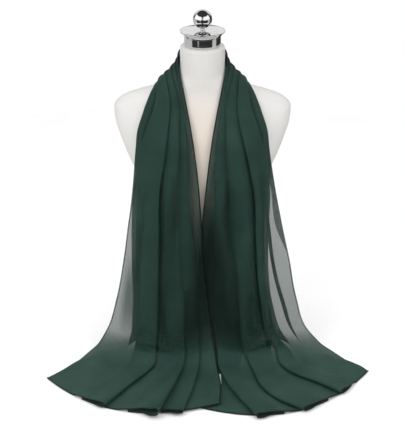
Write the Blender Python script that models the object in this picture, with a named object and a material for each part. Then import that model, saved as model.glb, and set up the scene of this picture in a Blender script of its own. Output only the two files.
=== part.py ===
"""Long chiffon hijab scarf looped round the neck of a limbless dress form.

The scarf passes behind the neck, both ends fall down the front in deep pleats and spread out on the
table that the form stands on. Lengths in the tables are millimetres. The origin is the middle of the
form's flat underside, on the table, with the form's front towards -Y and +Z up.
"""

import math
from collections import namedtuple

import bpy
import bmesh
import numpy as np

# Driving sizes
MM = 0.001
WALL = 1.2
NODE_GAP = 0.4
LOWEST = 0.62
RISE = 30.0
COVER_FLAT = 2.0
COVER_FOLDED = 14.0
TURN_BULGE = 1.6
WRAP_BULGE = 5.0
FOLD_SPREAD = 3.0
TIP_RUN = 35.0
ROW_STEP_NECK = 13.0

NECK_TOP = 658.0
COLLAR_RADIUS = 37.0
COLLAR_TOP = 677.0
DISC_RADIUS = 46.0
DISC_RIM = 687.5
DISC_TOP = 689.0
BALL_RADIUS = 19.3
BALL_CENTRE = 711.5
STEM_RADIUS = 5.0
PIECE_GAP = 0.3
ROUND_STEPS = 32
FORM_STEPS = 32
BALL_STEPS = 12

LABEL_LENGTH = 38.0
LABEL_SHOWS = 4.5
LABEL_TUCK = 9.0
LABEL_THICK = 1.0
LABEL_BACK = -194.0
LABEL_RUN = 800.0
LABEL_DROP = 2.8

# One row is a section across the scarf. run: distance along the inner edge from the nape. inner, middle
# and outer: points (out from the centre plane, y, z) of the rearmost layer. swell: how far the outer
# third bows forwards. width: distance across. layer: spacing of the layers.
Section = namedtuple("Section", "run inner middle outer swell width layer")
SHARED_SECTIONS = (
    Section(-40, (-34, 35, 645), (-45, 49, 592), (-69, 86, 554), 0, 113, 2.4),
    Section(0, (0, 49, 643), (0, 61, 588), (0, 101, 530), 0, 125, 2.4),
    Section(40, (34, 35, 645), (45, 49, 592), (69, 86, 554), 0, 113, 2.4),
    Section(75, (49, 3, 641), (66, 9, 600), (93, 15, 584), 0, 92, 2.4),
    Section(105, (49, -17, 617), (71, -18, 596), (103, -16, 580), 0, 80, 2.4),
    Section(143, (41, -43, 586), (76, -50, 568), (114, -46, 559), 0, 82, 2.5),
    Section(190, (32, -62, 546), (76, -72, 540), (122, -64, 537), 0, 92, 2.6),
    Section(235, (24, -88, 510), (79, -95, 507), (133, -82, 505), 0, 110, 2.8),
    Section(280, (17, -106, 470), (78, -111, 468), (138, -90, 468), 0, 121, 3.0),
)
LEFT_SECTIONS = SHARED_SECTIONS + (
    Section(360, (8, -118, 390), (77, -119, 389), (146, -88, 389), 0, 138, 3.0),
    Section(448, (3, -123, 302), (80, -122, 302), (157, -84, 302), 0, 154, 3.0),
    Section(537, (0, -127, 213), (85, -124, 213), (170, -82, 213), 0, 170, 3.0),
    Section(627, (-9, -131, 124), (89, -126, 124), (187, -82, 124), 0, 196, 3.0),
    Section(694, (-19, -135, 58), (94, -129, 56), (208, -88, 54), 0, 227, 3.0),
    Section(731, (-26, -142, 25), (101, -136, 20), (230, -98, 20), 0, 256, 3.0),
    Section(766, (-30, -168, 8), (116, -158, 1), (262, -128, 1), 6, 292, 3.0),
    Section(823, (-36, -228, 8), (130, -226, 1), (296, -172, 1), 14, 332, 3.0),
    Section(905, (-35, -309, 7), (145, -316, 1), (324, -203, 1), 18, 359, 3.0),
)
RIGHT_SECTIONS = SHARED_SECTIONS + (
    Section(360, (8, -112, 390), (79, -116, 389), (151, -88, 389), 0, 143, 3.0),
    Section(448, (0, -116, 302), (84, -119, 302), (168, -84, 302), 0, 168, 3.0),
    Section(537, (-7, -118, 213), (90, -121, 213), (187, -82, 213), 0, 194, 3.0),
    Section(627, (-11, -120, 124), (96, -122, 124), (204, -82, 124), 0, 215, 3.0),
    Section(694, (-13, -123, 56), (107, -125, 56), (228, -88, 54), 0, 241, 3.0),
    Section(731, (-14, -131, 20), (123, -130, 20), (262, -98, 20), 0, 276, 3.0),
    Section(766, (-15, -160, 1), (144, -158, 1), (305, -128, 1), 8, 320, 3.0),
    Section(823, (-15, -226, 1), (158, -228, 1), (331, -150, 1), 22, 345, 3.0),
    Section(905, (-15, -312, 1), (167, -318, 1), (349, -175, 1), 22, 364, 3.0),
)

# One row is the set of folds at a section. a to d: how far each fold's edge lies from the inner edge.
# tuck: how far the cloth goes back behind those four edges. puff: extra height of the loops at b, c and
# d, and tip: how far their ends reach past the hem.
Folds = namedtuple("Folds", "run a b c d tuck puff tip")
NONE = (0, 0, 0)
SHARED_FOLDS = (
    Folds(-40, 90, 62, 37, 16, (28, 20, 42, 58), NONE, NONE),
    Folds(0, 102, 72, 44, 20, (30, 22, 46, 64), NONE, NONE),
    Folds(40, 90, 62, 37, 16, (28, 20, 42, 58), NONE, NONE),
    Folds(75, 72, 49, 28, 12, (24, 16, 34, 46), NONE, NONE),
    Folds(105, 60, 40, 23, 10, (22, 13, 27, 36), NONE, NONE),
)
LEFT_FOLDS = SHARED_FOLDS + (
    Folds(143, 55, 30, 16, 7, (24, 18, 29, 34), NONE, NONE),
    Folds(190, 64, 36, 18, 8, (26, 21, 36, 43), NONE, NONE),
    Folds(235, 84, 47, 27, 13, (34, 30, 47, 58), (2, 2, 1), NONE),
    Folds(280, 100, 58, 34, 17, (40, 35, 56, 70), (4, 4, 2), NONE),
    Folds(360, 121, 76, 46, 25, (50, 38, 65, 83), (6, 6, 3), NONE),
    Folds(448, 131, 82, 47, 22, (52, 42, 74, 96), (7, 7, 4), NONE),
    Folds(537, 136, 88, 49, 17, (50, 41, 77, 106), (7, 7, 4), NONE),
    Folds(627, 146, 100, 49, 24, (40, 39, 86, 108), (6, 6, 3), NONE),
    Folds(694, 166, 116, 60, 29, (14, 40, 76, 86), (4, 4, 3), NONE),
    Folds(731, 190, 127, 65, 35, (-12, 46, 58, 40), (3, 3, 2), NONE),
    Folds(766, 224, 134, 72, 40, (-22, 52, 48, 24), (3, 4, 3), NONE),
    Folds(823, 268, 186, 94, 55, (-22, 46, 52, 30), (5, 9, 4), (0, 6, 4)),
    Folds(905, 298, 235, 126, 77, (-22, 42, 55, 38), (8, 14, 5), (6, 22, 14)),
)
RIGHT_FOLDS = SHARED_FOLDS + (
    Folds(143, 56, 34, 16, 7, (24, 16, 30, 35), NONE, NONE),
    Folds(190, 65, 41, 18, 8, (26, 18, 38, 45), NONE, NONE),
    Folds(235, 83, 54, 27, 12, (34, 23, 47, 59), (2, 2, 1), NONE),
    Folds(280, 100, 70, 35, 15, (40, 24, 56, 73), (4, 4, 2), NONE),
    Folds(360, 119, 94, 50, 21, (50, 19, 60, 86), (6, 6, 3), NONE),
    Folds(448, 126, 106, 60, 29, (52, 14, 57, 85), (7, 7, 4), NONE),
    Folds(537, 135, 118, 81, 36, (50, 12, 46, 88), (7, 8, 4), NONE),
    Folds(627, 152, 134, 91, 40, (40, 13, 52, 100), (6, 7, 3), NONE),
    Folds(694, 178, 150, 98, 44, (14, 18, 60, 90), (4, 5, 3), NONE),
    Folds(731, 210, 173, 106, 49, (-12, 26, 54, 52), (3, 3, 2), NONE),
    Folds(766, 244, 184, 121, 52, (-22, 38, 48, 42), (3, 3, 3), NONE),
    Folds(823, 297, 250, 141, 74, (-22, 30, 50, 44), (5, 5, 5), (0, 4, 4)),
    Folds(905, 330, 302, 221, 126, (-20, 18, 46, 50), (7, 7, 8), (8, 10, 14)),
)

# Points computed along each stretch of a section, and round each turn.
RUN_POINTS = {"flap": 2, "back": 2, "front": 4, "return": 3, "inner": 3}
TURN_POINTS = 3
ROW_RUNS = (
    75, 89, 105, 123, 143, 165, 190, 213, 235, 258, 280, 320, 360, 448, 537, 627, 665, 690, 708, 723,
    738, 753, 770, 795, 823, 864, 905,
)

# One row is a level of the dress form. side: half its width, front and back: its depth on each side of
# the neck's axis, and square: how box-like the outline is.
Level = namedtuple("Level", "z side front back square")
FORM_LEVELS = (
    Level(0, 122, 88, 96, 2.3),
    Level(6, 125, 91, 99, 2.3),
    Level(60, 127, 92, 104, 2.3),
    Level(120, 124, 88, 101, 2.3),
    Level(190, 114, 80, 88, 2.2),
    Level(250, 110, 77, 80, 2.2),
    Level(310, 114, 82, 82, 2.2),
    Level(360, 126, 92, 88, 2.2),
    Level(400, 143, 100, 94, 2.3),
    Level(436, 158, 101, 97, 2.4),
    Level(476, 172, 93, 98, 2.4),
    Level(505, 180, 80, 94, 2.4),
    Level(530, 182, 66, 87, 2.3),
    Level(545, 171, 57, 79, 2.2),
    Level(557, 143, 51, 70, 2.1),
    Level(566, 112, 48, 62, 2.0),
    Level(577, 82, 46.5, 54, 2.0),
    Level(590, 60, 46, 48.5, 2.0),
    Level(605, 49, 45.5, 46.5, 2.0),
    Level(625, 46, 45.5, 45.5, 2.0),
    Level(652, 45.5, 45.5, 45.5, 2.0),
    Level(656, 44.5, 44.5, 44.5, 2.0),
    Level(NECK_TOP, 42, 42, 42, 2.0),
)


def smooth(t):
    t = min(max(t, 0.0), 1.0)
    return t * t * (3 - 2 * t)


def flat(record):
    """One row of a table as a plain list of numbers."""
    values = []
    for value in record:
        values.extend(value if isinstance(value, tuple) else (value,))
    return values


def along(table, run):
    """The table's numbers at a distance along the scarf, on a smooth curve through its rows."""
    rows = np.array([flat(record) for record in table], float)
    runs = rows[:, 0]
    slopes = np.gradient(rows, runs, axis=0)
    low = min(max(int(np.searchsorted(runs, run)) - 1, 0), len(runs) - 2)
    span = runs[low + 1] - runs[low]
    t = (run - runs[low]) / span
    ends = (2 * t**3 - 3 * t**2 + 1) * rows[low] + (3 * t**2 - 2 * t**3) * rows[low + 1]
    pulls = (t**3 - 2 * t**2 + t) * slopes[low] + (t**3 - t**2) * slopes[low + 1]
    return ends + span * pulls


def turn(x, low, high, bulge, folded_by=1.0):
    """Points from one layer to the next round a fold's edge. folded_by 0 lays the fold out flat."""
    points = []
    for angle in np.linspace(0, math.pi, TURN_POINTS):
        step = (1 - math.cos(angle)) / 2
        folded = x + bulge * math.sin(angle)
        level = x + FOLD_SPREAD * math.cos(angle)
        points.append((folded * folded_by + level * (1 - folded_by), low + (high - low) * step, 0.0))
    return points


def section_points(folds, layer):
    """(distance from the inner edge, height above the rear layer, reach past the hem) round a section."""
    _, a, b, c, d, tuck_a, *rest = folds
    edges = (b, c, d)
    tucks, puffs, tips = rest[0:3], rest[3:6], rest[6:9]
    ends = [edge + tuck for edge, tuck in zip(edges, tucks)]
    folded = smooth((tuck_a + 8) / 10)
    lift = smooth((tuck_a + 20) / 12)
    cover = COVER_FLAT + COVER_FOLDED * folded

    def height(first, x):
        total = 0.0
        for edge, end, puff in list(zip(edges, ends, puffs))[first:]:
            total += 2 * layer * smooth((end + cover + RISE - x) / RISE)
            total += puff * smooth((end - x) / (end - edge))
        return total

    def tip(k, x):
        return tips[k] * smooth((edges[k] + TIP_RUN - x) / TIP_RUN)

    def stretch(kind, start, stop, rise, reach=None, end=None):
        inner = np.linspace(start, stop, RUN_POINTS[kind] + 2)[1:-1]
        if end is not None:
            climb = end + cover + RISE * np.array((1, 0.65, 0.3, 0))
            knots = [*climb, (end + cover + stop) / 2][: len(inner)]
            share = smooth((start - knots[0]) / 8)
            inner = share * np.array(knots) + (1 - share) * inner
        return [(x, rise(x), reach(x) if reach else 0.0) for x in inner]

    behind = -2 * layer * lift
    hidden = (-1.25 * layer * lift, -0.75 * layer * lift)
    width = folds[-1]
    points = [(width, behind, 0.0)]
    points += stretch("flap", width, a - tuck_a, lambda x: behind)
    points += turn(a - tuck_a, behind, hidden[0], -TURN_BULGE, folded)
    wrap = min(WRAP_BULGE, (height(0, a) - hidden[1]) / 2)
    wrapped = turn(a, hidden[1], height(0, a), wrap, folded)
    share = np.linspace(0, 1, RUN_POINTS["back"] + 2)[1:-1]
    points += [tuple((1 - s) * np.array(points[-1]) + s * np.array(wrapped[0])) for s in share]
    points += wrapped
    start = a
    for k, (edge, end) in enumerate(zip(edges, ends)):
        top = height(k, edge)
        below = layer + height(k + 1, edge)
        points += stretch("front", start, edge, lambda x: height(k, x), lambda x: tip(k, x), end)
        bend = turn(edge, top, below, -min(4.0, (top - below) / 2))
        points += [(x, n, tips[k]) for x, n, _ in bend]
        rise = lambda x: layer + height(k + 1, x)
        points += stretch("return", edge, end, rise, lambda x: tip(k, x))
        points += turn(end, rise(end), rise(end) - layer, TURN_BULGE)
        start = end
    points += stretch("inner", start, 0, lambda x: 0.0)
    points.append((0.0, 0.0, 0.0))
    return points


def base_point(section, fraction):
    """A point of the rear layer, as (out, y, z), at a fraction of the way from the inner edge."""
    inner, middle, outer = (np.array(section[i : i + 3]) for i in (1, 4, 7))
    f = fraction
    point = (1 - f) * (1 - 2 * f) * inner + 4 * f * (1 - f) * middle + f * (2 * f - 1) * outer
    point[1] -= section[10] * 6.75 * f * f * (1 - f)
    point[2] = max(point[2], LOWEST)
    return point


def cloth_row(sections, folds, side, run):
    """World points in mm across one side of the scarf, from its outer edge to its inner edge."""
    section = along(sections, run)
    width, layer = section[11], section[12]
    before, after = along(sections, run - 1.0), along(sections, run + 1.0)
    row = []
    for x, height, tip in section_points([*along(folds, run), width], layer):
        f = x / width
        across = base_point(section, f + 0.01) - base_point(section, f - 0.01)
        down = base_point(after, f) - base_point(before, f)
        normal = np.cross(down, across)
        normal /= np.linalg.norm(normal)
        point = base_point(section, f) + normal * height
        point[1] -= tip
        row.append((side * point[0], point[1], point[2]))
    return np.array(row)


def make_object(name, verts, faces, material, smooth_angle=None):
    mesh = bpy.data.meshes.new(name)
    mesh.from_pydata([tuple(np.array(v) * MM) for v in verts], [], faces)
    mesh.materials.append(material)
    mesh.update()
    obj = bpy.data.objects.new(name, mesh)
    bpy.context.scene.collection.objects.link(obj)
    if smooth_angle is not None:
        mesh.shade_smooth()
        mesh.set_sharp_from_angle(angle=math.radians(smooth_angle))
    return obj


def wall(name, rows, material):
    """A closed wall WALL thick on a grid of points, with its faces outwards."""
    grid = np.array(rows)
    down = np.gradient(grid, axis=0)
    across = np.gradient(grid, axis=1)
    normals = np.cross(across, down)
    normals /= np.linalg.norm(normals, axis=2, keepdims=True)
    lines, columns = grid.shape[:2]
    half = normals * WALL / 2
    verts = np.concatenate([(grid + half).reshape(-1, 3), (grid - half).reshape(-1, 3)])
    under = lines * columns
    faces = []
    for i in range(lines - 1):
        for j in range(columns - 1):
            a, b = i * columns + j, i * columns + j + 1
            c, d = b + columns, a + columns
            faces.append((a, b, c, d))
            faces.append((under + d, under + c, under + b, under + a))
    rim = [j for j in range(columns)]
    rim += [i * columns + columns - 1 for i in range(1, lines)]
    rim += [(lines - 1) * columns + j for j in range(columns - 2, -1, -1)]
    rim += [i * columns for i in range(lines - 2, 0, -1)]
    for first, second in zip(rim, rim[1:] + rim[:1]):
        faces.append((first, under + first, under + second, second))
    obj = make_object(name, verts, faces, material, 60)
    tidy_faces(obj)
    return obj


def tidy_faces(obj):
    """Triangles, all facing outwards."""
    bm = bmesh.new()
    bm.from_mesh(obj.data)
    bmesh.ops.recalc_face_normals(bm, faces=bm.faces)
    bmesh.ops.triangulate(bm, faces=bm.faces)
    bm.to_mesh(obj.data)
    bm.free()


def material(name, colour, roughness, metallic=0.0):
    made = bpy.data.materials.new(name)
    made.use_nodes = True
    shader = made.node_tree.nodes["Principled BSDF"]
    shader.inputs["Base Color"].default_value = (*colour, 1)
    shader.inputs["Roughness"].default_value = roughness
    shader.inputs["Metallic"].default_value = metallic
    return made


def clear_scene():
    for obj in list(bpy.data.objects):
        bpy.data.objects.remove(obj, do_unlink=True)


def make_scarf(chiffon):
    gap = NODE_GAP / 2
    shoulder = ROW_RUNS[0]
    ends = []
    for name, sections, folds, side in (
        ("scarf_left", LEFT_SECTIONS, LEFT_FOLDS, -1),
        ("scarf_right", RIGHT_SECTIONS, RIGHT_FOLDS, 1),
    ):
        runs = (shoulder + gap, *ROW_RUNS[1:])
        rows = [cloth_row(sections, folds, side, run) for run in runs]
        ends.append(wall(name, rows, chiffon))
    half = [shoulder - gap - ROW_STEP_NECK * i for i in range(int(shoulder // ROW_STEP_NECK) + 1)]
    left = [cloth_row(LEFT_SECTIONS, LEFT_FOLDS, -1, run) for run in half]
    right = [cloth_row(RIGHT_SECTIONS, RIGHT_FOLDS, 1, run) for run in reversed(half)]
    wall("scarf_neck", left + right, chiffon)
    return ends


def make_label(satin):
    """A plain folded label sewn under the left end's inner edge, where it lies on the table."""
    out, _, panel = along(LEFT_SECTIONS, LABEL_RUN)[1:4]
    x, back = -out, LABEL_BACK
    low = panel - LABEL_DROP
    verts = []
    for z in (low, low + LABEL_THICK):
        for y in (back, back - LABEL_LENGTH):
            verts += [(x - LABEL_TUCK, y, z), (x + LABEL_SHOWS, y, z)]
    faces = [(0, 1, 3, 2), (4, 6, 7, 5), (0, 4, 5, 1), (2, 3, 7, 6), (0, 2, 6, 4), (1, 5, 7, 3)]
    tidy_faces(make_object("label", verts, faces, satin))


def ring(level, steps):
    points = []
    for i in range(steps):
        angle = 2 * math.pi * i / steps
        power = 2 / level[4]
        across, deep = math.cos(angle), math.sin(angle)
        x = level[1] * math.copysign(abs(across) ** power, across)
        depth = level[3] if deep > 0 else level[2]
        points.append((x, depth * math.copysign(abs(deep) ** power, deep), level[0]))
    return points


def loft(name, rings, finish):
    """A closed solid through rings of equal numbers of points, from the lowest up."""
    steps = len(rings[0])
    verts = [point for points in rings for point in points]
    faces = [tuple(range(steps))[::-1]]
    for i in range(len(rings) - 1):
        for j in range(steps):
            k = (j + 1) % steps
            faces.append((i * steps + j, i * steps + k, (i + 1) * steps + k, (i + 1) * steps + j))
    faces.append(tuple((len(rings) - 1) * steps + j for j in range(steps)))
    obj = make_object(name, verts, faces, finish, 50)
    tidy_faces(obj)
    return obj


def turned(name, profile, finish):
    """A solid of revolution about the neck's axis through (radius, z) points, from the lowest up."""
    return loft(name, [ring((z, r, r, r, 2.0), ROUND_STEPS) for r, z in profile], finish)


def make_form(paint, chrome):
    loft("torso", [ring(level, FORM_STEPS) for level in FORM_LEVELS], paint)
    collar_base = NECK_TOP + PIECE_GAP
    turned(
        "neck_cap",
        [
            (COLLAR_RADIUS - 0.6, collar_base),
            (COLLAR_RADIUS, collar_base + 0.6),
            (COLLAR_RADIUS, COLLAR_TOP),
            (DISC_RADIUS - 3.0, DISC_RIM - 2.0),
            (DISC_RADIUS, DISC_RIM - 0.5),
            (DISC_RADIUS, DISC_RIM + 0.5),
            (DISC_RADIUS - 1.5, DISC_TOP),
        ],
        chrome,
    )
    bottom = DISC_TOP + PIECE_GAP
    ball = [(STEM_RADIUS + 1.5, bottom), (STEM_RADIUS, bottom + 1.2)]
    low = math.asin(STEM_RADIUS / BALL_RADIUS)
    for i in range(BALL_STEPS + 1):
        angle = low + (math.pi - 0.06 - low) * i / BALL_STEPS
        ball.append((BALL_RADIUS * math.sin(angle), BALL_CENTRE - BALL_RADIUS * math.cos(angle)))
    turned("finial", ball, chrome)


def main():
    clear_scene()
    chiffon = material("Chiffon, bottle green", (0.016, 0.045, 0.036), 0.75)
    paint = material("Form skin, ivory", (0.80, 0.76, 0.69), 0.55)
    chrome = material("Chrome plate", (0.80, 0.80, 0.80), 0.06, 1.0)
    make_form(paint, chrome)
    make_scarf(chiffon)
    make_label(material("Label satin, pale", (0.55, 0.58, 0.56), 0.5))


main()
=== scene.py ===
"""Looks of a long chiffon hijab scarf looped round the neck of a limbless dress form.

The CAD frame gives the places. The scarf here is one thin sheet from the left end's hem, behind the
neck, to the right end's hem, on the same sections and folds as the solids, with finer sampling, soft
creases, rolled hems and sheer cloth. Lengths in the tables are millimetres.
"""

import math
from collections import namedtuple

import bmesh
import bpy
import numpy as np
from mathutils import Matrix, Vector


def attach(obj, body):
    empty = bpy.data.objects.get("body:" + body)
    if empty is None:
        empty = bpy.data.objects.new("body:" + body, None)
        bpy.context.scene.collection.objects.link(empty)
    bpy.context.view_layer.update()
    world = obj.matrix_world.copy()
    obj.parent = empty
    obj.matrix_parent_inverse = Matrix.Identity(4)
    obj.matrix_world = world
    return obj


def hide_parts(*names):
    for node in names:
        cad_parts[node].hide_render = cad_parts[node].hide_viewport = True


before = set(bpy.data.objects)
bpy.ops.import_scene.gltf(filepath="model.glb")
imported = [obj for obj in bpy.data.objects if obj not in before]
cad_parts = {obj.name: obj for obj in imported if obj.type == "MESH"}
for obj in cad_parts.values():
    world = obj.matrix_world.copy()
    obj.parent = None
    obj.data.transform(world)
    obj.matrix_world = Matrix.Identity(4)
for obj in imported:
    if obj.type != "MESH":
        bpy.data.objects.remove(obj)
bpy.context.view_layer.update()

MM = 0.001
IMAGE_WIDTH, IMAGE_HEIGHT = 405, 425

# The scarf's cut, and its sheet
HALF_LENGTH = 905.0
THICKNESS = 0.45
LOWEST = 0.62
HEM_RADIUS = 1.35
HEM_SIDES = 6

# How far a fold's upper layers step down beyond its hidden end
RISE = 30.0
COVER_FLAT = 2.0
COVER_FOLDED = 14.0

# How round the folds' edges are, and how wide they lie once opened out
TURN_BULGE = 1.6
WRAP_BULGE = 5.0
EDGE_BULGE = 0.5
LOOP_BULGE = 4.0
FOLD_SPREAD = 3.0
PLEAT_SPREAD = 1.0
TIP_RUN = 35.0

# The turned-in outer edge
HEM_TURN = 2.6
EDGE_GAP = 0.6
EDGE_SHARE = 0.3
EDGE_FULL = 10.0

# Ranges of tuck, and of the pleat's width, over which the outermost fold and the pleat open out
FOLD_OPENS = (-12.0, 10.0)
FOLD_SINKS = (-20.0, -8.0)
PLEAT_OPENS = (-2.0, 3.0)
# Heights of the layers behind the outermost fold and in the pleat, as shares of a layer's spacing
BEHIND_SHARE = 2.0
HIDDEN_SHARES = (1.0, 0.75)
PLEAT_SHARES = (0.35, 0.7)

# How far off the neighbours lie that give the cloth's direction at a point: a share of its width, and
# millimetres along it
NEAR_SHARE = 0.01
NEAR_RUN = 1.0

# How see-through the cloth is and where it changes, and where shade is painted into its colour. These places
# are in metres, and three numbers are a window: its low end, its high end and its soft edge.
SHEER_ALPHA, SHEER_GRAIN = 0.48, 0.08
DENSE_ALPHA = 0.78
GRAIN_SHARE = 0.35
TABLE_NEAR, TABLE_FAR = 0.010, 0.060
# Where the cloth gathers over the shoulders: it is denser there, and painted shade darkens its colour by a
# share.
GATHER_LOW, GATHER_HIGH = 0.33, 0.50
GATHER_CLOSED, GATHER_SHADE = 0.75, 0.3
# Painted shade in the middle, where the two ends meet over a dark hollow, and denser cloth there: a wedge
# about a line across, wider further down
MIDDLE_LINE, MIDDLE_SPREAD = 0.020, 0.2
MIDDLE_NEAR, MIDDLE_FAR = 0.052, 0.112
MIDDLE_UP = (0.045, 0.33, 0.045)
MIDDLE_LEAST = 0.6
# Painted shade in long streaks down the fall, standing in for the shade between its pleats
STREAK_SIZE, STREAK_STRETCH = 26.0, 0.05
STREAK_RANGE, STREAK_SHADE = (0.42, 0.68), 0.55
STREAKS_UP = (0.06, 0.42, 0.05)
# The bunched cloth beside the left end's outermost fold
BUNCH_SPREAD, BUNCH_CLOSED = 0.12, 0.7
BUNCH_ACROSS = (-0.184, -0.150, 0.010)
BUNCH_UP = (0.070, 0.20, 0.05)
# The part of the form's chest given a warm painted shade, for the shade and tinted light from the scarf
# round it
CHEST_SHADE_ACROSS = (-0.075, 0.075, 0.03)
CHEST_SHADE_DEEP = (-0.30, -0.035, 0.015)
CHEST_SHADE_UP = (0.20, 0.55, 0.07)

# One row is a section across the scarf. run: distance along the inner edge from the nape. inner, middle
# and outer: points (out from the centre plane, y, z) of the rearmost layer. swell: how far the outer
# third bows forwards. width: distance across. layer: spacing of the layers. The last three are these
# places in a row that is laid out as plain numbers.
Section = namedtuple("Section", "run inner middle outer swell width layer")
SWELL, WIDTH, LAYER = 10, 11, 12
SHARED_SECTIONS = (
    Section(-40, (-34, 35, 645), (-45, 49, 592), (-68, 86, 550), 0, 113, 1.3),
    Section(0, (0, 49, 643), (0, 61, 588), (0, 101, 530), 0, 125, 1.3),
    Section(40, (34, 35, 645), (45, 49, 592), (68, 86, 550), 0, 113, 1.3),
    Section(75, (49, 3, 641), (65, 9, 597), (92, 15, 580), 0, 92, 1.3),
    Section(105, (49, -17, 617), (70, -18, 593), (102, -16, 576), 0, 80, 1.4),
    Section(143, (41, -43, 586), (76, -50, 566), (113, -46, 557), 0, 82, 1.7),
    Section(190, (32, -62, 546), (76, -72, 539), (122, -64, 536), 0, 92, 2.1),
    Section(235, (24, -88, 510), (79, -95, 507), (133, -82, 505), 0, 110, 2.4),
    Section(280, (17, -106, 470), (78, -111, 468), (138, -90, 468), 0, 121, 2.7),
)
LEFT_SECTIONS = SHARED_SECTIONS + (
    Section(360, (8, -118, 390), (77, -119, 389), (146, -88, 389), 0, 138, 3.0),
    Section(448, (3, -123, 302), (80, -122, 302), (157, -84, 302), 0, 154, 3.0),
    Section(537, (0, -127, 213), (85, -124, 213), (170, -82, 213), 0, 170, 3.0),
    Section(627, (-9, -131, 124), (89, -126, 124), (187, -82, 124), 0, 196, 3.0),
    Section(694, (-19, -135, 58), (94, -129, 56), (208, -88, 54), 0, 227, 3.0),
    Section(731, (-26, -142, 25), (101, -136, 20), (230, -98, 20), 0, 256, 3.0),
    Section(766, (-30, -168, 8), (116, -158, 1), (262, -128, 1), 6, 292, 3.0),
    Section(823, (-36, -228, 8), (130, -226, 1), (296, -172, 1), 14, 332, 3.0),
    Section(905, (-35, -309, 7), (145, -316, 1), (324, -203, 1), 18, 359, 3.0),
)
RIGHT_SECTIONS = SHARED_SECTIONS + (
    Section(360, (8, -112, 390), (79, -116, 389), (151, -88, 389), 0, 143, 3.0),
    Section(448, (0, -116, 302), (84, -119, 302), (168, -84, 302), 0, 168, 3.0),
    Section(537, (-7, -118, 213), (90, -121, 213), (187, -82, 213), 0, 194, 3.0),
    Section(627, (-11, -120, 124), (96, -122, 124), (204, -82, 124), 0, 215, 3.0),
    Section(694, (-13, -123, 56), (107, -125, 56), (228, -88, 54), 0, 241, 3.0),
    Section(731, (-14, -131, 20), (123, -130, 20), (262, -98, 20), 0, 276, 3.0),
    Section(766, (-15, -160, 1), (144, -158, 1), (305, -128, 1), 8, 320, 3.0),
    Section(823, (-15, -226, 1), (158, -228, 1), (331, -150, 1), 22, 345, 3.0),
    Section(905, (-15, -312, 1), (167, -318, 1), (349, -175, 1), 22, 364, 3.0),
)

# One row is the set of folds at a section. a to d: how far each fold's edge lies from the inner edge.
# tuck: how far the cloth goes back behind those four edges. puff: extra height of the loops at b, c and
# d, and tip: how far their ends reach past the hem. under: how far the outer edge is turned in behind.
# pleat: where a small soft pleat in the sheer outer flap begins, and how wide it is, negative where it has
# opened out.
Folds = namedtuple("Folds", "run a b c d tuck puff tip under pleat")
NONE = (0, 0, 0)
SHARED_FOLDS = (
    Folds(-40, 90, 62, 37, 16, (28, 20, 42, 58), NONE, NONE, 22, (101, -3)),
    Folds(0, 102, 72, 44, 20, (30, 22, 46, 64), NONE, NONE, 22, (113, -3)),
    Folds(40, 90, 62, 37, 16, (28, 20, 42, 58), NONE, NONE, 22, (101, -3)),
    Folds(75, 72, 49, 28, 12, (24, 16, 34, 46), NONE, NONE, 22, (82, -3)),
    Folds(105, 60, 40, 23, 10, (22, 13, 27, 36), NONE, NONE, 22, (70, -3)),
)
LEFT_FOLDS = SHARED_FOLDS + (
    Folds(143, 55, 30, 16, 7, (24, 18, 29, 34), NONE, NONE, 28, (68, -3)),
    Folds(190, 64, 36, 18, 8, (26, 21, 36, 43), NONE, NONE, 28, (77, -3)),
    Folds(235, 84, 47, 27, 13, (34, 30, 47, 58), (3, 3, 2), NONE, 26, (96, -3)),
    Folds(280, 100, 58, 34, 17, (40, 35, 56, 70), (5, 5, 3), NONE, 22, (109, -3)),
    Folds(360, 121, 76, 46, 25, (50, 38, 65, 83), (7, 7, 4), NONE, 8, (127, -3)),
    Folds(448, 131, 82, 47, 22, (52, 42, 74, 96), (8, 8, 5), NONE, 0, (140, -3)),
    Folds(537, 136, 88, 49, 17, (50, 41, 77, 106), (8, 8, 5), NONE, 0, (150, -3)),
    Folds(627, 146, 100, 49, 24, (44, 39, 86, 108), (7, 7, 4), NONE, 0, (166, -3)),
    Folds(694, 166, 116, 60, 29, (20, 40, 76, 86), (4, 4, 3), NONE, 0, (190, -3)),
    Folds(731, 190, 127, 65, 35, (-12, 46, 58, 40), (3, 3, 2), NONE, 0, (222, -3)),
    Folds(766, 224, 134, 72, 40, (-22, 52, 48, 24), (3, 4, 3), NONE, 0, (262, -3)),
    Folds(823, 268, 186, 94, 55, (-22, 46, 52, 30), (5, 9, 4), (0, 6, 4), 0, (306, -3)),
    Folds(905, 298, 235, 126, 77, (-22, 42, 55, 38), (8, 14, 5), (6, 22, 14), 0, (336, -3)),
)
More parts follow.
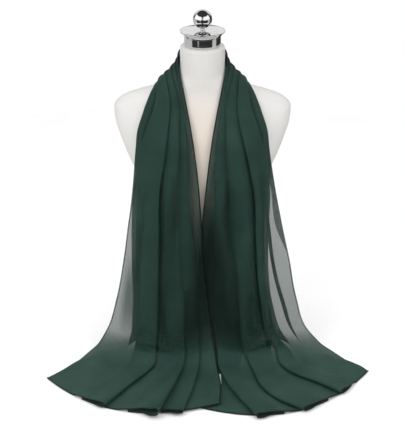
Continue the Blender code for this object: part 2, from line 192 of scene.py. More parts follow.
RIGHT_FOLDS = SHARED_FOLDS + (
    Folds(143, 56, 34, 16, 7, (24, 16, 30, 35), NONE, NONE, 28, (69, -3)),
    Folds(190, 65, 41, 18, 8, (26, 18, 38, 45), NONE, NONE, 28, (77, -3)),
    Folds(235, 83, 54, 27, 12, (34, 23, 47, 59), (3, 3, 2), NONE, 26, (97, -3)),
    Folds(280, 100, 70, 35, 15, (40, 24, 56, 73), (6, 5, 3), NONE, 20, (110, -3)),
    Folds(360, 119, 94, 50, 21, (50, 19, 60, 86), (8, 7, 4), NONE, 9, (121, 3)),
    Folds(448, 126, 106, 60, 29, (52, 14, 57, 85), (9, 9, 5), NONE, 14, (136, 5)),
    Folds(537, 135, 118, 81, 36, (50, 12, 46, 88), (9, 10, 5), NONE, 0, (154, 6)),
    Folds(627, 152, 134, 91, 40, (44, 13, 52, 100), (8, 9, 4), NONE, 0, (180, 6)),
    Folds(694, 178, 150, 98, 44, (20, 18, 60, 90), (4, 5, 3), NONE, 0, (207, 4)),
    Folds(731, 210, 173, 106, 49, (-12, 26, 54, 52), (3, 3, 2), NONE, 0, (238, -3)),
    Folds(766, 244, 184, 121, 52, (-22, 38, 48, 42), (3, 3, 3), NONE, 0, (288, -3)),
    Folds(823, 297, 250, 141, 74, (-22, 30, 50, 44), (5, 5, 5), (0, 4, 4), 0, (331, -3)),
    Folds(905, 330, 302, 221, 126, (-20, 18, 46, 50), (7, 7, 8), (8, 10, 14), 0, (358, -3)),
)

# How far the two ends sink back along the centre plane, at each distance along the scarf.
HOLLOW_RUNS = (300, 360, 400, 448, 537, 627, 694, 740)
HOLLOW_DEPTHS = (0, 6, 14, 26, 35, 31, 14, 0)
HOLLOW_HALF = 46.0

# How far apart the computed rows are, from each distance along the scarf on.
ROW_STEPS = ((0.0, 5.2), (300.0, 7.0), (640.0, 3.0), (790.0, 5.0), (HALF_LENGTH, 0.0))

# Points computed along each stretch of a section, and round each turn.
RUN_POINTS = {"under": 3, "outer": 7, "pleat": 2, "flap": 6, "back": 3, "front": 11, "return": 4, "inner": 5}
TURN_POINTS = 5

# Soft creases laid along the scarf. at: (run, share of the width) along the crease's line. high: how far
# it stands out of the cloth, negative for a trough. half: half its width.
Crease = namedtuple("Crease", "at high half")
CREASE_FADE = 45.0
LEFT_CREASES = (
    Crease(((20, 0.55), (105, 0.55), (143, 0.53), (235, 0.61), (310, 0.63)), 2.6, 5),
    Crease(((20, 0.31), (105, 0.34), (143, 0.29), (235, 0.34), (310, 0.36)), 2.2, 4),
    Crease(((20, 0.85), (105, 0.83), (143, 0.82), (235, 0.88), (310, 0.90)), 2.2, 5),
    Crease(((235, 0.60), (280, 0.65), (360, 0.70), (448, 0.69), (560, 0.66), (700, 0.62)), 8, 14),
    Crease(((280, 0.38), (360, 0.44), (448, 0.42), (560, 0.40), (700, 0.38)), 6.5, 11),
    Crease(((360, 0.26), (448, 0.22), (560, 0.19), (700, 0.19)), 4.5, 9),
    Crease(((420, 0.96), (520, 0.94), (640, 0.93)), 3.0, 9),
    Crease(((640, 0.86), (700, 0.84), (760, 0.86), (830, 0.93)), 2.5, 12),
)
RIGHT_CREASES = (
    Crease(((20, 0.57), (105, 0.56), (143, 0.55), (235, 0.63), (310, 0.68)), 2.6, 5),
    Crease(((20, 0.32), (105, 0.35), (143, 0.31), (235, 0.36), (310, 0.40)), 2.4, 4),
    Crease(((20, 0.84), (105, 0.84), (143, 0.83), (235, 0.88), (310, 0.91)), 2.0, 5),
    Crease(((235, 0.37), (280, 0.43), (360, 0.50), (448, 0.49), (560, 0.51), (700, 0.52)), 8, 13),
    Crease(((320, 0.22), (448, 0.26), (560, 0.30), (700, 0.30)), 6.5, 11),
    Crease(((520, 0.95), (600, 0.90), (690, 0.90)), 4.0, 8),
    Crease(((640, 0.80), (700, 0.80), (760, 0.84), (830, 0.92)), 2.5, 12),
)

# The dress form. One row is a level: side: half its width, front and back: its depth on each side of the
# neck's axis, and square: how box-like the outline is.
Level = namedtuple("Level", "z side front back square")
NECK_TOP = 658.0
FORM_LEVELS = (
    Level(0, 122, 88, 96, 2.3),
    Level(6, 125, 91, 99, 2.3),
    Level(60, 127, 92, 104, 2.3),
    Level(120, 124, 88, 101, 2.3),
    Level(190, 114, 80, 88, 2.2),
    Level(250, 110, 77, 80, 2.2),
    Level(310, 114, 82, 82, 2.2),
    Level(360, 126, 92, 88, 2.2),
    Level(400, 143, 100, 94, 2.3),
    Level(436, 158, 101, 97, 2.4),
    Level(476, 172, 93, 98, 2.4),
    Level(505, 180, 80, 94, 2.4),
    Level(530, 182, 66, 87, 2.3),
    Level(545, 171, 57, 79, 2.2),
    Level(557, 143, 51, 70, 2.1),
    Level(566, 112, 48, 62, 2.0),
    Level(577, 82, 46.5, 54, 2.0),
    Level(590, 60, 46, 48.5, 2.0),
    Level(605, 49, 45.5, 46.5, 2.0),
    Level(625, 46, 45.5, 45.5, 2.0),
    Level(652, 45.5, 45.5, 45.5, 2.0),
    Level(656, 44.5, 44.5, 44.5, 2.0),
    Level(NECK_TOP, 42, 42, 42, 2.0),
)
FORM_STEPS = 128
FORM_ROWS = 5

COLLAR_RADIUS = 37.0
COLLAR_TOP = 677.0
DISC_RADIUS = 46.0
DISC_RIM = 687.5
DISC_TOP = 689.0
BALL_RADIUS = 19.3
BALL_CENTRE = 711.5
STEM_RADIUS = 3.4
PIECE_GAP = 0.3
ROUND_STEPS = 96
BALL_STEPS = 40
BALL_POLE = 0.03

LABEL_LENGTH = 38.0
LABEL_SHOWS = 4.5
LABEL_TUCK = 9.0
LABEL_BACK = -194.0
LABEL_RUN = 800.0
LABEL_DROP = 2.6
LABEL_THICK = 0.8
LABEL_WAVE = 0.25
LABEL_STEPS = 12

# The camera, as the photograph was taken
CAMERA_PLACE = (0.0, -2.4, 1.3466)
CAMERA_PITCH = 23.8
FOCAL_PIXELS = 1224.0
SENSOR = 36.0

# What makes a value's change from one number to another smooth
SMOOTH = {"interpolation_type": "SMOOTHSTEP"}

# The studio
FLOOR_RADIUS = 1.6
FLOOR_PLACE = (0, -0.05, -0.001)
DOME_LOW, DOME_HIGH = 0.22, 1.40
DOME_RISE = (0.15, 0.95)
ROOM_DARK = 0.035
ROOM_EDGE = 0.05
# What chrome mirrors. One row is a lit patch: left, right (degrees round from the front), bottom, top
# (share of straight up) and brightness.
ROOM_WINDOWS = (
    (-112, -14, -0.04, 0.62, 1.25),
    (12, 98, -0.04, 0.62, 1.25),
    (-14, 12, 0.02, 0.50, 0.42),
    (-180, -74, -0.60, -0.10, 0.55),
    (70, 102, -0.60, -0.10, 0.55),
    (-34, -24, -0.60, -0.10, 0.30),
    (128, 190, 0.12, 0.62, 0.86),
    (-190, -128, 0.12, 0.62, 0.86),
    (-190, 190, -1.2, -0.62, 0.10),
)
# One row is a soft box: name, place, aim, size and power.
LIGHTS = (
    ("soft_box_left", (-1.30, -1.25, 1.10), (0, 0, 0.40), (1.1, 1.4), 14),
    ("soft_box_right", (1.30, -1.25, 1.10), (0, 0, 0.40), (1.1, 1.4), 11),
)


def smooth(t):
    t = min(max(t, 0.0), 1.0)
    return t * t * (3 - 2 * t)


def between(value, low, high):
    """0 below the low number, 1 above the high one, and a smooth rise from one to the other."""
    return smooth((value - low) / (high - low))


def flat(record):
    """One row of a table as a plain list of numbers."""
    values = []
    for value in record:
        values.extend(value if isinstance(value, tuple) else (value,))
    return values


def curve(keys, rows, slopes, key):
    """The row of numbers at a key, on a smooth curve through the rows with these slopes."""
    low = min(max(int(np.searchsorted(keys, key)) - 1, 0), len(keys) - 2)
    step = keys[low + 1] - keys[low]
    t = (key - keys[low]) / step
    ends = (2 * t**3 - 3 * t**2 + 1) * rows[low] + (3 * t**2 - 2 * t**3) * rows[low + 1]
    pulls = (t**3 - 2 * t**2 + t) * slopes[low] + (t**3 - t**2) * slopes[low + 1]
    return ends + step * pulls


def along(table, run):
    """The table's numbers at a distance along the scarf, on a smooth curve through its rows."""
    rows = np.array([flat(record) for record in table], float)
    return curve(rows[:, 0], rows, np.gradient(rows, rows[:, 0], axis=0), run)


def turn(x, low, high, bulge, folded_by=1.0, spread=FOLD_SPREAD):
    """Points from one layer to the next round a fold's edge. folded_by 0 lays the fold out flat."""
    points = []
    for angle in np.linspace(0, math.pi, TURN_POINTS):
        step = (1 - math.cos(angle)) / 2
        folded = x + bulge * math.sin(angle)
        level = x + spread * math.cos(angle)
        points.append((folded * folded_by + level * (1 - folded_by), low + (high - low) * step, 0.0))
    return points


def section_points(folds, layer):
    """(distance from the inner edge, height above the rear layer, reach past the hem) round a section."""
    _, a, b, c, d, tuck_a, *rest = folds
    edges = (b, c, d)
    tucks, puffs, tips = rest[0:3], rest[3:6], rest[6:9]
    under, pleat, pleat_width, width = rest[9:13]
    ends = [edge + tuck for edge, tuck in zip(edges, tucks)]
    folded = between(tuck_a, *FOLD_OPENS)
    lift = between(tuck_a, *FOLD_SINKS)
    cover = COVER_FLAT + COVER_FOLDED * folded

    def height(first, x):
        total = 0.0
        for edge, end, puff in list(zip(edges, ends, puffs))[first:]:
            total += 2 * layer * smooth((end + cover + RISE - x) / RISE)
            total += puff * smooth((end - x) / (end - edge))
        return total

    def tip(k, x):
        return tips[k] * smooth((edges[k] + TIP_RUN - x) / TIP_RUN)

    def stretch(kind, start, stop, rise, reach=None):
        inner = np.linspace(start, stop, RUN_POINTS[kind] + 2)[1:-1]
        return [(x, rise(x), reach(x) if reach else 0.0) for x in inner]

    behind = -BEHIND_SHARE * layer * lift
    hidden = [-share * layer * lift for share in HIDDEN_SHARES]
    under = max(under, HEM_TURN)
    lowest = behind - EDGE_GAP - EDGE_SHARE * layer * smooth(under / EDGE_FULL)
    points = [(width - under, lowest, 0.0)]
    points += stretch("under", width - under, width - EDGE_BULGE, lambda x: lowest)
    points += turn(width - EDGE_BULGE, lowest, behind, EDGE_BULGE)
    pleated = between(pleat_width, *PLEAT_OPENS)
    spare = PLEAT_SPREAD * (1 - pleated)
    turned_up, upper = (behind + share * layer * lift * pleated for share in PLEAT_SHARES)
    pleat_end = pleat + pleat_width
    points += stretch("outer", width - EDGE_BULGE, pleat + spare, lambda x: behind)
    points += turn(pleat, behind, turned_up, -EDGE_BULGE, pleated, PLEAT_SPREAD)
    points += stretch("pleat", pleat - spare, pleat_end + spare, lambda x: turned_up)
    points += turn(pleat_end, turned_up, upper, EDGE_BULGE, pleated, PLEAT_SPREAD)
    flap_end = a - tuck_a + FOLD_SPREAD * (1 - folded)
    points += stretch("flap", pleat_end - spare, flap_end, lambda x: upper)
    points += turn(a - tuck_a, upper, hidden[0], -TURN_BULGE, folded)
    wrap = min(WRAP_BULGE, (height(0, a) - hidden[1]) / 2)
    wrapped = turn(a, hidden[1], height(0, a), wrap, folded)
    share = np.linspace(0, 1, RUN_POINTS["back"] + 2)[1:-1]
    points += [tuple((1 - s) * np.array(points[-1]) + s * np.array(wrapped[0])) for s in share]
    points += wrapped
    start = a
    for k, (edge, end) in enumerate(zip(edges, ends)):
        top = height(k, edge)
        below = layer + height(k + 1, edge)
        points += stretch("front", start, edge, lambda x: height(k, x), lambda x: tip(k, x))
        bend = turn(edge, top, below, -min(LOOP_BULGE, (top - below) / 2))
        points += [(x, n, tips[k]) for x, n, _ in bend]
        points += stretch("return", edge, end, lambda x: layer + height(k + 1, x), lambda x: tip(k, x))
        returned = layer + height(k + 1, end)
        points += turn(end, returned, returned - layer, TURN_BULGE)
        start = end
    points += stretch("inner", start, 0, lambda x: 0.0)
    points.append((0.0, 0.0, 0.0))
    return points


def base_point(section, fraction):
    """A point of the rear layer, as (out, y, z), at a fraction of the way from the inner edge."""
    inner, middle, outer = (np.array(section[i : i + 3]) for i in (1, 4, 7))
    f = fraction
    point = (1 - f) * (1 - 2 * f) * inner + 4 * f * (1 - f) * middle + f * (2 * f - 1) * outer
    # 27 / 4 f^2 (1 - f) rises to 1 at two thirds of the way.
    point[1] -= section[SWELL] * 27 / 4 * f * f * (1 - f)
    point[2] = max(point[2], LOWEST)
    return point


def hollow(run, out):
    """How far both ends sink back towards the form's waist, along the centre plane."""
    depth = np.interp(run, HOLLOW_RUNS, HOLLOW_DEPTHS)
    return depth * math.exp(-((out / HOLLOW_HALF) ** 2))


def crease_height(creases, run, x, width):
    """How far the soft creases lift the cloth at a point of a section."""
    total = 0.0
    for crease in creases:
        runs = [point[0] for point in crease.at]
        if not runs[0] < run < runs[-1]:
            continue
        fade = smooth((run - runs[0]) / CREASE_FADE) * smooth((runs[-1] - run) / CREASE_FADE)
        middle = width * np.interp(run, runs, [point[1] for point in crease.at])
        total += crease.high * fade * math.exp(-(((x - middle) / crease.half) ** 2))
    return total


def cloth_row(sections, folds, creases, side, run):
    """World points in mm across one side of the scarf, from its outer edge to its inner edge."""
    section = along(sections, run)
    width, layer = section[WIDTH], section[LAYER]
    before, after = along(sections, run - NEAR_RUN), along(sections, run + NEAR_RUN)
    row = []
    for x, height, tip in section_points([*along(folds, run), width], layer):
        f = x / width
        across = base_point(section, f + NEAR_SHARE) - base_point(section, f - NEAR_SHARE)
        down = base_point(after, f) - base_point(before, f)
        normal = np.cross(down, across)
        normal /= np.linalg.norm(normal)
        height += crease_height(creases, run, x, width)
        point = base_point(section, f)
        point[1] += hollow(run, point[0])
        point += normal * height
        point[1] -= tip
        row.append((side * point[0], point[1], point[2]))
    return np.array(row)


def scarf_grid():
    """The whole sheet as a grid of points in mm, from the left end's hem to the right end's."""
    runs = []
    for (start, step), (stop, _) in zip(ROW_STEPS[:-1], ROW_STEPS[1:]):
        count = round((stop - start) / step)
        runs += [start + (stop - start) * i / count for i in range(1, count + 1)]
    runs.reverse()
    left = [cloth_row(LEFT_SECTIONS, LEFT_FOLDS, LEFT_CREASES, -1, run) for run in runs]
    nape = [cloth_row(LEFT_SECTIONS, LEFT_FOLDS, LEFT_CREASES, -1, 0.0)]
    right = [cloth_row(RIGHT_SECTIONS, RIGHT_FOLDS, RIGHT_CREASES, 1, run) for run in runs[::-1]]
    return np.array(left + nape + right)


def new_object(name, verts, faces, material, smooth_angle):
    """An object with its faces turned outward, smooth where they meet at less than the angle in degrees."""
    mesh = bpy.data.meshes.new(name)
    mesh.from_pydata((np.asarray(verts, float) * MM).tolist(), [], faces)
    mesh.materials.append(material)
    mesh.shade_smooth()
    mesh.set_sharp_from_angle(angle=math.radians(smooth_angle))
    bm = bmesh.new()
    bm.from_mesh(mesh)
    bmesh.ops.recalc_face_normals(bm, faces=bm.faces)
    bm.to_mesh(mesh)
    bm.free()
    obj = bpy.data.objects.new(name, mesh)
    bpy.context.scene.collection.objects.link(obj)
    return obj


def sheet(name, grid, material):
    """A closed thin sheet on a grid of points."""
    down = np.gradient(grid, axis=0)
    across = np.gradient(grid, axis=1)
    normals = np.cross(across, down)
    normals /= np.linalg.norm(normals, axis=2, keepdims=True)
    lines, columns = grid.shape[:2]
    half = normals * THICKNESS / 2
    verts = np.concatenate([(grid + half).reshape(-1, 3), (grid - half).reshape(-1, 3)])
    under = lines * columns
    faces = []
    for i in range(lines - 1):
        for j in range(columns - 1):
            a, b = i * columns + j, i * columns + j + 1
            c, d = b + columns, a + columns
            faces.append((a, b, c, d))
            faces.append((under + d, under + c, under + b, under + a))
    rim = list(range(columns))
    rim += [i * columns + columns - 1 for i in range(1, lines)]
    rim += [(lines - 1) * columns + j for j in range(columns - 2, -1, -1)]
    rim += [i * columns for i in range(lines - 2, 0, -1)]
    for first, second in zip(rim, rim[1:] + rim[:1]):
        faces.append((first, under + first, under + second, second))
    return new_object(name, verts, faces, material, 80)


def tube(name, path, radius, material):
    """A closed round cord along a ring of points, such as a rolled hem."""
    path = np.array(path)
    ahead = np.roll(path, -1, axis=0) - np.roll(path, 1, axis=0)
    ahead /= np.linalg.norm(ahead, axis=1, keepdims=True)
    verts = []
    side = np.array((0.0, 0.0, 1.0))
    for point, direction in zip(path, ahead):
        side = side - direction * np.dot(side, direction)
        side /= np.linalg.norm(side)
        other = np.cross(direction, side)
        for k in range(HEM_SIDES):
            angle = 2 * math.pi * k / HEM_SIDES
            verts.append(point + radius * (math.cos(angle) * side + math.sin(angle) * other))
    faces = []
    count = len(path)
    for i in range(count):
        for k in range(HEM_SIDES):
            a, b = i * HEM_SIDES + k, i * HEM_SIDES + (k + 1) % HEM_SIDES
            c, d = (i + 1) % count * HEM_SIDES + (k + 1) % HEM_SIDES, (i + 1) % count * HEM_SIDES + k
            faces.append((a, b, c, d))
    return new_object(name, verts, faces, material, 180)


def linear(code):
    """An sRGB hex colour as linear RGBA."""
    values = [int(code[i : i + 2], 16) / 255 for i in (0, 2, 4)]
    return (*[v / 12.92 if v <= 0.04045 else ((v + 0.055) / 1.055) ** 2.4 for v in values], 1.0)


def feed(tree, node, inputs):
    """Sets a node's inputs to values or to other nodes' outputs, by name or number, or in order."""
    for key, value in inputs.items() if isinstance(inputs, dict) else enumerate(inputs):
        if isinstance(value, bpy.types.NodeSocket):
            tree.links.new(value, node.inputs[key])
        else:
            node.inputs[key].default_value = value


def add(tree, kind, inputs=(), stops=(), **settings):
    """The outputs of a new node. stops: a colour ramp's two stops, each a position and a hex colour."""
    node = tree.nodes.new("ShaderNode" + kind)
    for key, value in settings.items():
        setattr(node, key, value)
    for element, (position, code) in zip(node.color_ramp.elements if stops else (), stops):
        element.position = position
        element.color = linear(code)
    feed(tree, node, inputs)
    return node.outputs


def soft_window(tree, value, low, high, edge):
    """1 between two numbers and 0 outside them, with soft edges."""
    rise = add(tree, "MapRange", (value, low - edge, low + edge, 0.0, 1.0), **SMOOTH)[0]
    fall = add(tree, "MapRange", (value, high - edge, high + edge, 1.0, 0.0), **SMOOTH)[0]
    return add(tree, "Math", (rise, fall), operation="MULTIPLY")[0]


def new_material(name):
    """(material, node tree, Principled shader)"""
    made = bpy.data.materials.new(name)
    made.use_nodes = True
    return made, made.node_tree, made.node_tree.nodes["Principled BSDF"]


def chiffon_material():
    made, tree, shader = new_material("Crepe chiffon, bottle green")
    place = add(tree, "TexCoord")["Object"]
    across, _, height = add(tree, "SeparateXYZ", (place,))
    # Crepe yarns twist, so the colour is grainy, and cloudy where the cloth was handled. The yarns lie
    # about 0.4 mm apart, and the grain is drawn twice as coarse, so that it shows.
    grain = add(tree, "TexNoise", {"Vector": place, "Scale": 1000.0 / 0.9})["Fac"]
    cloud = add(tree, "TexNoise", {"Vector": place, "Scale": 1000.0 / 45.0})["Fac"]
    shade = add(tree, "Mix", {"Factor": GRAIN_SHARE, "A": cloud, "B": grain})[0]
    tint = add(tree, "ValToRGB", (shade,), ((0.3, "284039"), (0.7, "355048")))["Color"]
    # Painted shade: the colour darkens in long streaks down the fall, standing in for the shade between the
    # pleats, and most where the two ends meet and many layers hang one over another in shade.
    drawn = add(tree, "Mapping", {"Vector": place, "Scale": (1.0, 1.0, STREAK_STRETCH)})[0]
    streak = add(tree, "TexNoise", {"Vector": drawn, "Scale": 1000.0 / STREAK_SIZE, "Detail": 1.0})["Fac"]
    streak_shade = add(tree, "MapRange", (streak, *STREAK_RANGE, 0.0, STREAK_SHADE), **SMOOTH)[0]
    hanging = soft_window(tree, height, *STREAKS_UP)
    streak_shade = add(tree, "Math", (streak_shade, hanging), operation="MULTIPLY")[0]
    # Painted shade in the middle wedge where the ends meet; the same mask also makes the cloth denser there.
    aside = add(tree, "Math", (across, MIDDLE_LINE), operation="SUBTRACT")[0]
    aside = add(tree, "Math", (aside,), operation="ABSOLUTE")[0]
    aside = add(tree, "Math", (height, MIDDLE_SPREAD, aside), operation="MULTIPLY_ADD")[0]
    deep = add(tree, "MapRange", (aside, MIDDLE_NEAR, MIDDLE_FAR, 1.0, 0.0), **SMOOTH)[0]
    uneven = add(tree, "MapRange", (streak, 0.0, 1.0, MIDDLE_LEAST, 1.0))[0]
    for share in (soft_window(tree, height, *MIDDLE_UP), uneven):
        deep = add(tree, "Math", (deep, share), operation="MULTIPLY")[0]
    # Painted shade of the fine gathers over the shoulders; the same mask makes the cloth denser there.
    gathered = add(tree, "MapRange", (height, GATHER_LOW, GATHER_HIGH, 0.0, GATHER_CLOSED), **SMOOTH)[0]
    painted_shade = add(tree, "Math", (gathered, GATHER_SHADE), operation="MULTIPLY")[0]
    # All the painted shade together darkens the cloth's colour towards a dark green shade colour.
    for shaded in (streak_shade, deep):
        painted_shade = add(tree, "Math", (painted_shade, shaded), operation="MAXIMUM")[0]
    tint_with_painted_shade = add(tree, "Mix", {"Factor": painted_shade, 6: tint, 7: linear("0F1B18")}, data_type="RGBA")[2]
    # The weave is open, so each surface lets over half of the light through where the cloth hangs. It closes
    # up lying on the table, gathered over the shoulders, at the middle and beside the left fold.
    closed = add(tree, "MapRange", (height, TABLE_NEAR, TABLE_FAR, 1.0, 0.0), **SMOOTH)[0]
    beside = add(tree, "Math", (height, -BUNCH_SPREAD, across), operation="MULTIPLY_ADD")[0]
    bunched = soft_window(tree, beside, *BUNCH_ACROSS)
    for share in (soft_window(tree, height, *BUNCH_UP), BUNCH_CLOSED):
        bunched = add(tree, "Math", (bunched, share), operation="MULTIPLY")[0]
    for covered in (gathered, deep, bunched):
        closed = add(tree, "Math", (closed, covered), operation="MAXIMUM")[0]
    sheer = add(tree, "MapRange", (grain, 0.0, 1.0, SHEER_ALPHA - SHEER_GRAIN, SHEER_ALPHA + SHEER_GRAIN))[0]
    alpha = add(tree, "Mix", {"Factor": closed, "A": sheer, "B": DENSE_ALPHA})[0]
    rough = add(tree, "MapRange", (grain, 0.0, 1.0, 0.62, 0.80))[0]
    relief = add(tree, "Bump", {"Height": grain, "Distance": 0.10 * MM, "Strength": 1.0})[0]
    feed(tree, shader, {"Base Color": tint_with_painted_shade, "Alpha": alpha, "Roughness": rough, "Normal": relief})
    feed(tree, shader, {"Sheen Weight": 0.12, "Sheen Roughness": 0.5, "Sheen Tint": linear("6F9A88")})
    feed(tree, shader, {"Specular IOR Level": 0.18})
    return made


def hem_material():
    made, tree, shader = new_material("Rolled hem, bottle green")
    place = add(tree, "TexCoord")["Object"]
    # Close machine stitches pull the rolled edge into small beads.
    beads = add(tree, "TexNoise", {"Vector": place, "Scale": 1000.0 / 1.6})["Fac"]
    tint = add(tree, "ValToRGB", (beads,), ((0.35, "0B1613"), (0.65, "13251F")))["Color"]
    rough = add(tree, "MapRange", (beads, 0.0, 1.0, 0.60, 0.80))[0]
    relief = add(tree, "Bump", {"Height": beads, "Distance": 0.25 * MM, "Strength": 1.0})[0]
    feed(tree, shader, {"Base Color": tint, "Roughness": rough, "Normal": relief})
    return made


def label_material():
    made, tree, shader = new_material("Label ribbon, pale satin")
    place = add(tree, "TexCoord")["Object"]
    # A satin ribbon's fine cross ribs, about 0.35 mm apart.
    ribs = {"Vector": place, "Scale": 900.0, "Distortion": 0.4}
    ribs = add(tree, "TexWave", ribs, bands_direction="Y")["Fac"]
    tint = add(tree, "ValToRGB", (ribs,), ((0.0, "B9C4BE"), (1.0, "D5DCD7")))["Color"]
    rough = add(tree, "MapRange", (ribs, 0.0, 1.0, 0.35, 0.5))[0]
    relief = add(tree, "Bump", {"Height": ribs, "Distance": 0.05 * MM, "Strength": 1.0})[0]
    feed(tree, shader, {"Base Color": tint, "Roughness": rough, "Normal": relief})
    return made


def skin_material():
    made, tree, shader = new_material("Dress form skin, ivory satin paint")
    place = add(tree, "TexCoord")["Object"]
    # Sprayed paint: very faint orange peel, slightly uneven shade.
    cloud = add(tree, "TexNoise", {"Vector": place, "Scale": 1000.0 / 90.0})["Fac"]
    peel = add(tree, "TexNoise", {"Vector": place, "Scale": 1000.0 / 2.2})["Fac"]
    white = add(tree, "ValToRGB", (cloud,), ((0.3, "DBD9D6"), (0.7, "DFDDDB")))["Color"]
    warm_shade = add(tree, "ValToRGB", (cloud,), ((0.3, "DBCFC3"), (0.7, "DFD5CA")))["Color"]
    # Painted shade: the chest is warmer and a little darker where the scarf frames it, for the shade and
    # tinted light the scarf throws there.
    chest_shade = 1.0
    for part, window in zip(add(tree, "SeparateXYZ", (place,)), (CHEST_SHADE_ACROSS, CHEST_SHADE_DEEP, CHEST_SHADE_UP)):
        chest_shade = add(tree, "Math", (soft_window(tree, part, *window), chest_shade), operation="MULTIPLY")[0]
    tint = add(tree, "Mix", {"Factor": chest_shade, 6: white, 7: warm_shade}, data_type="RGBA")[2]
    rough = add(tree, "MapRange", (peel, 0.0, 1.0, 0.42, 0.52))[0]
    relief = add(tree, "Bump", {"Height": peel, "Distance": 0.02 * MM, "Strength": 1.0})[0]
    feed(tree, shader, {"Base Color": tint, "Roughness": rough, "Normal": relief})
    return made


def chrome_material():
    made, tree, shader = new_material("Chrome plate")
    place = add(tree, "TexCoord")["Object"]
    # Mirror plate with faint handling haze.
    haze = add(tree, "TexNoise", {"Vector": place, "Scale": 1000.0 / 14.0, "Detail": 4.0})["Fac"]
    tint = add(tree, "ValToRGB", (haze,), ((0.3, "DCDCDE"), (0.7, "E9E9E8")))["Color"]
    rough = add(tree, "MapRange", (haze, 0.0, 1.0, 0.03, 0.09))[0]
    feed(tree, shader, {"Base Color": tint, "Metallic": 1.0, "Roughness": rough})
    return made


def floor_material():
    made, tree, shader = new_material("Studio table, matt white")
    place = add(tree, "TexCoord")["Object"]
    # Matt paint, with the faintest change of shade over the table.
    cloud = add(tree, "TexNoise", {"Vector": place, "Scale": 1000.0 / 300.0})["Fac"]
    tint = add(tree, "ValToRGB", (cloud,), ((0.3, "F7F7F7"), (0.7, "FBFBFB")))["Color"]
    feed(tree, shader, {"Base Color": tint, "Roughness": 0.8})
    return made


def ring(level, steps):
    """Points round the outline at one level."""
    z, side, front, back, square = level
    power = 2 / square
    points = []
    for i in range(steps):
        angle = 2 * math.pi * i / steps
        across, deep = math.cos(angle), math.sin(angle)
        x = side * math.copysign(abs(across) ** power, across)
        depth = back if deep > 0 else front
        points.append((x, depth * math.copysign(abs(deep) ** power, deep), z))
    return points


def loft(name, rings, material, smooth_angle):
    """A closed solid through rings of equal numbers of points, from the lowest up."""
    steps = len(rings[0])
    verts = [point for points in rings for point in points]
    faces = [tuple(range(steps))[::-1]]
    for i in range(len(rings) - 1):
        for j in range(steps):
            k = (j + 1) % steps
            faces.append((i * steps + j, i * steps + k, (i + 1) * steps + k, (i + 1) * steps + j))
    faces.append(tuple((len(rings) - 1) * steps + j for j in range(steps)))
    return new_object(name, verts, faces, material, smooth_angle)


def turned(name, profile, material):
    """A solid of revolution about the neck's axis through (radius, z) points, from the lowest up."""
    return loft(name, [ring((z, r, r, r, 2.0), ROUND_STEPS) for r, z in profile], material, 30)


def form_slopes(levels):
    """How fast the outline changes at each level, limited so that it has no ripples."""
    rates = np.diff(levels, axis=0) / np.diff(levels[:, 0])[:, None]
    slopes = np.zeros_like(levels)
    slopes[0], slopes[-1] = rates[0], rates[-1]
    both = rates[:-1] * rates[1:] > 0
    weights = 1 / (1 / np.where(both, rates[:-1], 1) + 1 / np.where(both, rates[1:], 1)) * 2
    slopes[1:-1] = np.where(both, weights, 0)
    return slopes


def make_form(skin):
    """The limbless body, on a smooth curve through the levels of the table."""
    levels = np.array(FORM_LEVELS)
    heights, slopes = levels[:, 0], form_slopes(levels)
    rows = [levels[0]]
    for low, high in zip(heights[:-1], heights[1:]):
        for k in range(1, FORM_ROWS + 1):
            rows.append(curve(heights, levels, slopes, low + (high - low) * k / FORM_ROWS))
    return loft("form_body", [ring(row, FORM_STEPS) for row in rows], skin, 60)


def make_cap(chrome):
    base = NECK_TOP + PIECE_GAP
    return turned(
        "cap_collar",
        [
            (COLLAR_RADIUS - 1.2, base),
            (COLLAR_RADIUS - 0.35, base + 0.35),
            (COLLAR_RADIUS, base + 1.2),
            (COLLAR_RADIUS, COLLAR_TOP - 1.0),
            (COLLAR_RADIUS + 0.5, COLLAR_TOP + 0.6),
            (COLLAR_RADIUS + 2.4, COLLAR_TOP + 3.8),
            (COLLAR_RADIUS + 5.4, COLLAR_TOP + 7.4),
            (DISC_RADIUS - 1.0, DISC_RIM - 1.2),
            (DISC_RADIUS - 0.2, DISC_RIM - 0.5),
            (DISC_RADIUS, DISC_RIM),
            (DISC_RADIUS - 0.2, DISC_RIM + 0.7),
            (DISC_RADIUS - 0.9, DISC_TOP - 0.25),
            (DISC_RADIUS - 2.2, DISC_TOP),
            (STEM_RADIUS + 3.0, DISC_TOP),
        ],
        chrome,
    )


def make_finial(chrome):
    bottom = DISC_TOP + PIECE_GAP
    profile = [
        (STEM_RADIUS + 1.6, bottom),
        (STEM_RADIUS + 1.5, bottom + 0.6),
        (STEM_RADIUS + 0.5, bottom + 1.0),
        (STEM_RADIUS, bottom + 1.6),
    ]
    low = math.asin(STEM_RADIUS / BALL_RADIUS)
    for i in range(BALL_STEPS + 1):
        angle = low + (math.pi - BALL_POLE - low) * i / BALL_STEPS
        profile.append((BALL_RADIUS * math.sin(angle), BALL_CENTRE - BALL_RADIUS * math.cos(angle)))
    return turned("cap_ball", profile, chrome)


def make_label(satin):
    """A folded ribbon sewn under the left end's inner edge, its free end lying on the cloth below."""
    out, _, panel = along(LEFT_SECTIONS, LABEL_RUN)[1:4]
    x, low = -out, panel - LABEL_DROP
    edge = LABEL_THICK / 2
    profile = [(-LABEL_TUCK, 0), (LABEL_SHOWS - edge, 0), (LABEL_SHOWS, edge)]
    profile += [(LABEL_SHOWS - edge, LABEL_THICK), (-LABEL_TUCK, LABEL_THICK)]
    rings = []
    for i in range(LABEL_STEPS + 1):
        y = LABEL_BACK - LABEL_LENGTH * i / LABEL_STEPS
        wave = LABEL_WAVE * math.sin(i * 0.9)
        rings.append([(x + dx, y, low + wave + dz) for dx, dz in profile])
    return loft("label_ribbon", rings, satin, 50)


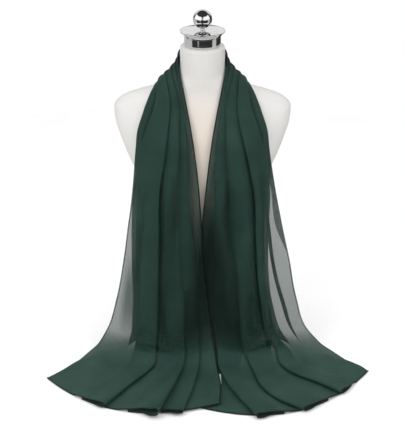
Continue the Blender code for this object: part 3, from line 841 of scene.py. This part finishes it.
def make_scarf(chiffon, rolled):
    grid = scarf_grid()
    scarf = sheet("scarf", grid, chiffon)
    rim = np.array([*grid[0], *grid[1:, -1], *grid[-1, -2::-1], *grid[-2:0:-1, 0]])
    rim[:, 2] = np.maximum(rim[:, 2], HEM_RADIUS)
    hem = tube("rolled_hem", rim, HEM_RADIUS, rolled)
    return scarf, hem


def make_camera():
    camera = bpy.data.objects.new("camera", bpy.data.cameras.new("camera"))
    bpy.context.scene.collection.objects.link(camera)
    camera.location = CAMERA_PLACE
    camera.rotation_euler = (math.radians(90 - CAMERA_PITCH), 0, 0)
    camera.data.sensor_width = SENSOR
    camera.data.lens = FOCAL_PIXELS / max(IMAGE_WIDTH, IMAGE_HEIGHT) * SENSOR
    bpy.context.scene.camera = camera


def area_light(name, place, target, size, power):
    data = bpy.data.lights.new(name, "AREA")
    data.shape = "RECTANGLE"
    data.size, data.size_y = size
    data.energy = power
    light = bpy.data.objects.new(name, data)
    bpy.context.scene.collection.objects.link(light)
    light.location = place
    aim = Vector(target) - Vector(place)
    light.rotation_euler = aim.to_track_quat("-Z", "Y").to_euler()
    light.visible_glossy = False
    return light


def make_world():
    """A bright ceiling for the light, a dim room with lit windows for what chrome mirrors, and white past
    the table's edge."""
    world = bpy.data.worlds.new("studio")
    bpy.context.scene.world = world
    world.use_nodes = True
    tree = world.node_tree
    tree.nodes.clear()
    direction = add(tree, "TexCoord")["Generated"]
    sideways, backward, level = add(tree, "SeparateXYZ", (direction,))
    forward = add(tree, "Math", (backward, -1.0), operation="MULTIPLY")[0]
    turned_round = add(tree, "Math", (sideways, forward), operation="ARCTAN2")[0]
    dome = add(tree, "MapRange", (level, *DOME_RISE, DOME_LOW, DOME_HIGH), **SMOOTH)[0]
    mirrored = ROOM_DARK
    for low, high, bottom, top, bright in ROOM_WINDOWS:
        across = soft_window(tree, turned_round, math.radians(low), math.radians(high), ROOM_EDGE)
        upright = soft_window(tree, level, bottom, top, ROOM_EDGE)
        patch = add(tree, "Math", (across, upright), operation="MULTIPLY")[0]
        mirrored = add(tree, "Math", (patch, bright, mirrored), operation="MULTIPLY_ADD")[0]
    path = add(tree, "LightPath")
    strength = add(tree, "Mix", {"Factor": path["Is Glossy Ray"], "A": dome, "B": mirrored})[0]
    strength = add(tree, "Mix", {"Factor": path["Is Camera Ray"], "A": strength, "B": 1.0})[0]
    light = add(tree, "Background", {"Color": linear("FFFFFF"), "Strength": strength})[0]
    add(tree, "OutputWorld", {"Surface": light})


def make_studio():
    bpy.ops.mesh.primitive_circle_add(
        vertices=96, radius=FLOOR_RADIUS, fill_type="NGON", location=FLOOR_PLACE
    )
    floor = bpy.context.object
    floor.name = "floor"
    floor.data.materials.append(floor_material())
    floor.visible_glossy = False
    for light in LIGHTS:
        area_light(*light)
    make_world()
    bpy.context.scene.view_settings.view_transform = "Standard"


def main():
    make_camera()
    make_studio()
    chiffon, rolled, chrome = chiffon_material(), hem_material(), chrome_material()
    scarf, hem = make_scarf(chiffon, rolled)
    form = make_form(skin_material())
    cap, finial = make_cap(chrome), make_finial(chrome)
    label = make_label(label_material())
    for piece, slot in (
        (scarf, "chiffon"),
        (hem, "chiffon"),
        (form, "form_skin"),
        (cap, "chrome"),
        (finial, "chrome"),
        (label, "label_satin"),
    ):
        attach(piece, "root")
    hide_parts("scarf_left", "scarf_right", "scarf_neck")
    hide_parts("torso")
    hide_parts("neck_cap")
    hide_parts("finial")
    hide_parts("label")


main()
